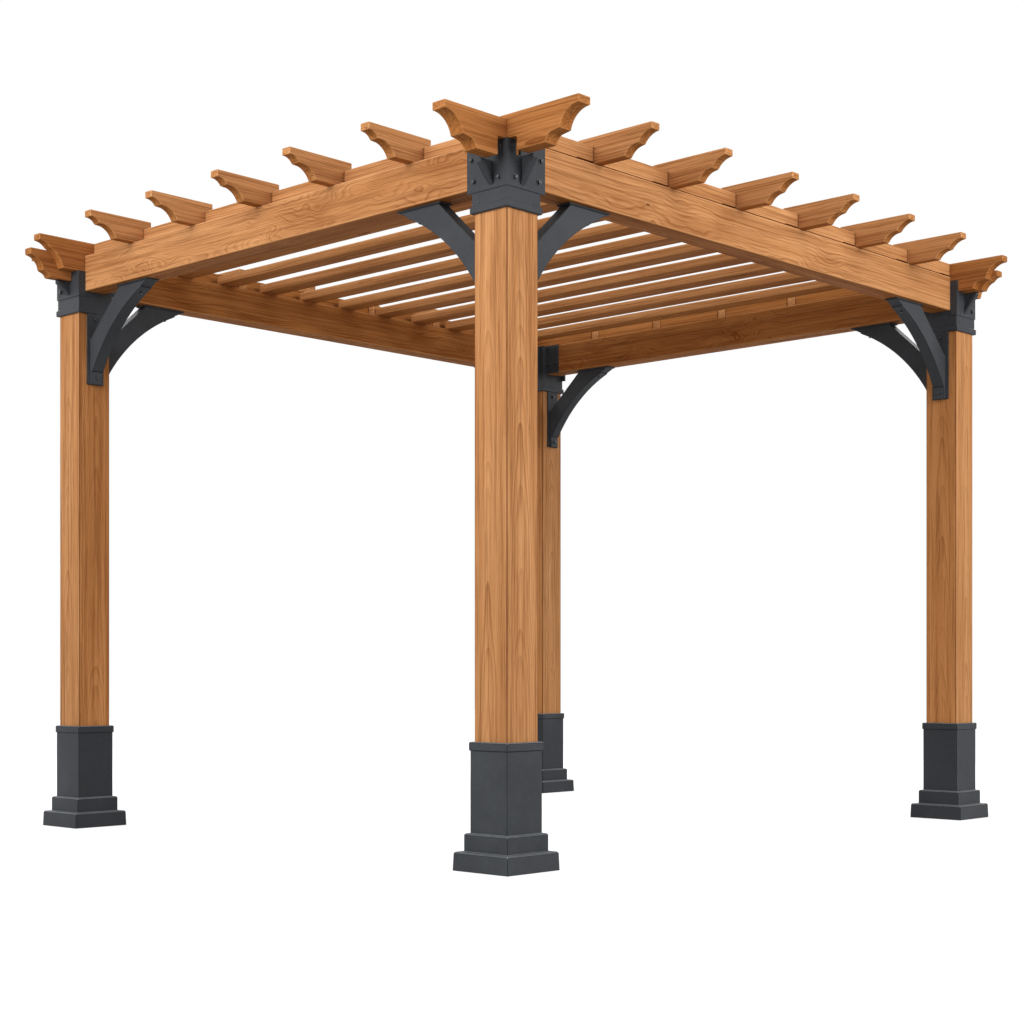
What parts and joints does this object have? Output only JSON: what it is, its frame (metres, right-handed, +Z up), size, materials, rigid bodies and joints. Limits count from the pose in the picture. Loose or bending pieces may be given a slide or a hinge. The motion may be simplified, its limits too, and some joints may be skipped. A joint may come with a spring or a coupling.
{
  "type": "wooden pergola",
  "caption": "Open timber pergola on square posts, with dark steel foot covers, curved steel braces and corner caps, and scroll-cut tails round a slatted roof.",
  "frame": {"origin": "on the ground, under the middle of the plan", "axes": "+X to the right along the front beam, +Y from the front beam to the back beam, +Z up"},
  "size_m": [3.392, 3.052, 2.353],
  "materials": {
    "timber": "satin stain",
    "steel": "satin powder coat"
  },
  "bodies": {
    "root": {"post_front_left": "timber", "post_front_right": "timber", "post_back_left": "timber", "post_back_right": "timber", "beam_front": "timber", "tails_front": "timber", "rim_front": "timber", "beam_back": "timber", "tails_back": "timber", "rim_back": "timber", "beam_left": "timber", "tails_left": "timber", "rim_left": "timber", "beam_right": "timber", "tails_right": "timber", "rim_right": "timber", "slats": "timber", "corner_tail_front_left_pointing_front": "timber", "corner_tail_front_left_pointing_left": "timber", "corner_tail_front_right_pointing_front": "timber", "corner_tail_front_right_pointing_right": "timber", "corner_tail_back_left_pointing_back": "timber", "corner_tail_back_left_pointing_left": "timber", "corner_tail_back_right_pointing_back": "timber", "corner_tail_back_right_pointing_right": "timber", "lower_tail_back_left": "timber", "lower_tail_front_right": "timber", "base_cover_front_left": "steel", "corner_cap_front_left": "steel", "brace_front_left_under_front_beam": "steel", "brace_front_left_under_left_beam": "steel", "base_cover_front_right": "steel", "corner_cap_front_right": "steel", "brace_front_right_under_front_beam": "steel", "brace_front_right_under_right_beam": "steel", "base_cover_back_left": "steel", "corner_cap_back_left": "steel", "brace_back_left_under_back_beam": "steel", "brace_back_left_under_left_beam": "steel", "base_cover_back_right": "steel", "corner_cap_back_right": "steel", "brace_back_right_under_back_beam": "steel", "brace_back_right_under_right_beam": "steel"}
  },
  "joints": []
}
